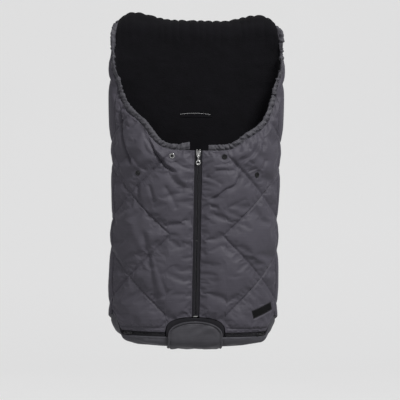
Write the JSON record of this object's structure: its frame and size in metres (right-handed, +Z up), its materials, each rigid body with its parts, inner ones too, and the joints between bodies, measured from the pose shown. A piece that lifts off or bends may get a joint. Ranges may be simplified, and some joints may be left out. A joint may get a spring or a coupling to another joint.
{
  "type": "stroller footmuff",
  "caption": "Padded footmuff hung by its hood over a rail, with quilted zip-up front doors, a gathered casing round the opening and a flap over the foot zip.",
  "frame": {"origin": "on the axis of the rail that the hood hangs over, under the middle of the fold", "axes": "+Z up, -Y towards the front of the footmuff, +X to its right seen from the front"},
  "size_m": [0.3594, 0.1851, 0.6991],
  "materials": {
    "shell_fabric": "charcoal polyester shell, quilted",
    "casing_fabric": "charcoal polyester, gathered on elastic",
    "flap_fabric": "charcoal polyester, plain",
    "fleece": "black polar fleece",
    "wadding": "white polyester wadding",
    "tape": "black woven polyester tape",
    "coil": "black nylon coil",
    "elastic": "white braided elastic",
    "nickel": "nickel-plated zinc",
    "black_metal": "black lacquered metal",
    "label": "black woven label, bare",
    "hook_loop": "black hook-and-loop tape"
  },
  "bodies": {
    "back_and_foot": {"back_outer_fabric": "shell_fabric", "back_wadding": "wadding", "back_fleece_lining": "fleece", "shoulder_slot_binding": "casing_fabric", "crotch_slot_binding": "casing_fabric", "hood_casing": "casing_fabric", "hood_elastic": "elastic", "foot_gusset_outer": "casing_fabric", "foot_gusset_lining": "fleece", "foot_tongue": "tape", "tongue_loop_patch": "hook_loop", "left_foot_zip_lower_tape": "tape", "right_foot_zip_lower_tape": "tape", "left_foot_zip_lower_coil": "coil", "right_foot_zip_lower_coil": "coil"},
    "left_front_door": {"left_front_outer_fabric": "shell_fabric", "left_front_wadding": "wadding", "left_front_fleece_lining": "fleece", "left_neck_casing": "casing_fabric", "left_neck_elastic": "elastic", "left_zip_tape": "tape", "left_zip_coil": "coil", "left_zip_top_stop": "nickel", "left_foot_zip_upper_tape": "tape", "left_foot_zip_upper_coil": "coil", "left_front_upper_press_stud": "nickel", "left_front_lower_press_stud": "black_metal"},
    "right_front_door": {"right_front_outer_fabric": "shell_fabric", "right_front_wadding": "wadding", "right_front_fleece_lining": "fleece", "right_neck_casing": "casing_fabric", "right_neck_elastic": "elastic", "right_zip_tape": "tape", "right_zip_coil": "coil", "right_zip_top_stop": "nickel", "zip_retainer_box": "nickel", "right_foot_zip_upper_tape": "tape", "right_foot_zip_upper_coil": "coil", "right_front_upper_press_stud": "black_metal", "right_front_lower_press_stud": "black_metal", "sewn_label": "label"},
    "centre_slider": {"zip_slider": "nickel"},
    "centre_pull": {"zip_pull": "nickel"},
    "left_foot_slider": {"left_foot_zip_slider": "black_metal"},
    "left_foot_pull": {"left_foot_zip_pull": "black_metal"},
    "right_foot_slider": {"right_foot_zip_slider": "black_metal"},
    "right_foot_pull": {"right_foot_zip_pull": "black_metal"},
    "foot_flap": {"foot_flap_lining": "tape", "foot_flap_outer": "flap_fabric", "flap_hook_patch": "hook_loop"}
  },
  "joints": [
    {"name": "left_door_opening", "type": "hinge", "parent": "back_and_foot", "child": "left_front_door", "pos_m": [-0.16881, -0.07559, -0.24], "axis": [0, 0, -1], "range_deg": [0, 110]},
    {"name": "right_door_opening", "type": "hinge", "parent": "back_and_foot", "child": "right_front_door", "pos_m": [0.16881, -0.07559, -0.24], "axis": [0, 0, 1], "range_deg": [0, 110]},
    {"name": "centre_zip", "type": "slide", "parent": "right_front_door", "child": "centre_slider", "axis": [0, 0, -1], "range_m": [0, 0.33], "deforming": ["left_zip_coil", "right_zip_coil"]},
    {"name": "centre_pull_swing", "type": "hinge", "parent": "centre_slider", "child": "centre_pull", "pos_m": [0, -0.1363, -0.2434], "axis": [-1, 0, 0], "range_deg": [0, 150]},
    {"name": "left_foot_zip", "type": "hinge", "parent": "back_and_foot", "child": "left_foot_slider", "pos_m": [-0.05, 0.01103, -0.62], "axis": [0, 0, 1], "range_deg": [0, 29], "deforming": ["left_foot_zip_upper_coil", "left_foot_zip_lower_coil"]},
    {"name": "right_foot_zip", "type": "hinge", "parent": "back_and_foot", "child": "right_foot_slider", "pos_m": [0.05, 0.01103, -0.62], "axis": [0, 0, -1], "range_deg": [0, 29], "deforming": ["right_foot_zip_upper_coil", "right_foot_zip_lower_coil"]},
    {"name": "left_foot_pull_swing", "type": "hinge", "parent": "left_foot_slider", "child": "left_foot_pull", "pos_m": [-0.14497, -0.10162, -0.62], "axis": [0, 0, -1], "range_deg": [0, 150]},
    {"name": "right_foot_pull_swing", "type": "hinge", "parent": "right_foot_slider", "child": "right_foot_pull", "pos_m": [0.14497, -0.10162, -0.62], "axis": [0, 0, 1], "range_deg": [0, 150]},
    {"name": "foot_flap_fold", "type": "hinge", "parent": "back_and_foot", "child": "foot_flap", "pos_m": [0, -0.09993, -0.6491], "axis": [1, 0, 0], "range_deg": [0, 120]}
  ]
}
